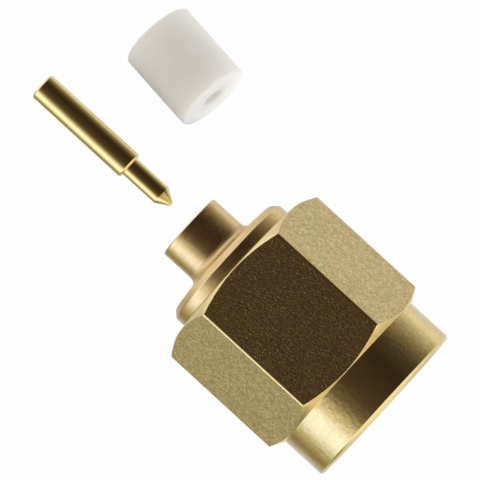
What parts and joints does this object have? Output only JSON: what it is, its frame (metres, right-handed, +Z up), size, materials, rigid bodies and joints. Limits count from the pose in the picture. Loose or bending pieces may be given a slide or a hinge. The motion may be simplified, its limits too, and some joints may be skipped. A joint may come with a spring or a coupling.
{
  "type": "sma connector",
  "caption": "Straight coaxial plug with a hexagonal coupling nut, shown before fitting with its loose dielectric insulator and solder contact pin beside it.",
  "frame": {"origin": "on the plug's axis at the reference plane, the front end face of the outer conductor, which is the mouth of the insulator's bore", "axes": "+X along the plug's axis towards the mating end, +Z up, with the plug lying on one flat of its hexagon"},
  "size_m": [0.0205, 0.0207, 0.008],
  "materials": {
    "turned_gold": "turned and gold plated",
    "nut_gold": "satin gold plate",
    "spring_copper": "bare spring metal",
    "silicone": "matte moulded rubber",
    "ptfe": "smooth waxy white",
    "contact_gold": "polished gold plate"
  },
  "bodies": {
    "plug": {"plug_body": "turned_gold", "retaining_ring": "spring_copper", "sealing_gasket": "silicone", "insulator": "ptfe", "contact_pin": "contact_gold"},
    "nut": {"coupling_nut": "nut_gold"}
  },
  "joints": [
    {"name": "nut_turn", "type": "hinge", "parent": "plug", "child": "nut", "pos_m": [0, 0, 0], "axis": [1, 0, 0], "continuous": true}
  ]
}
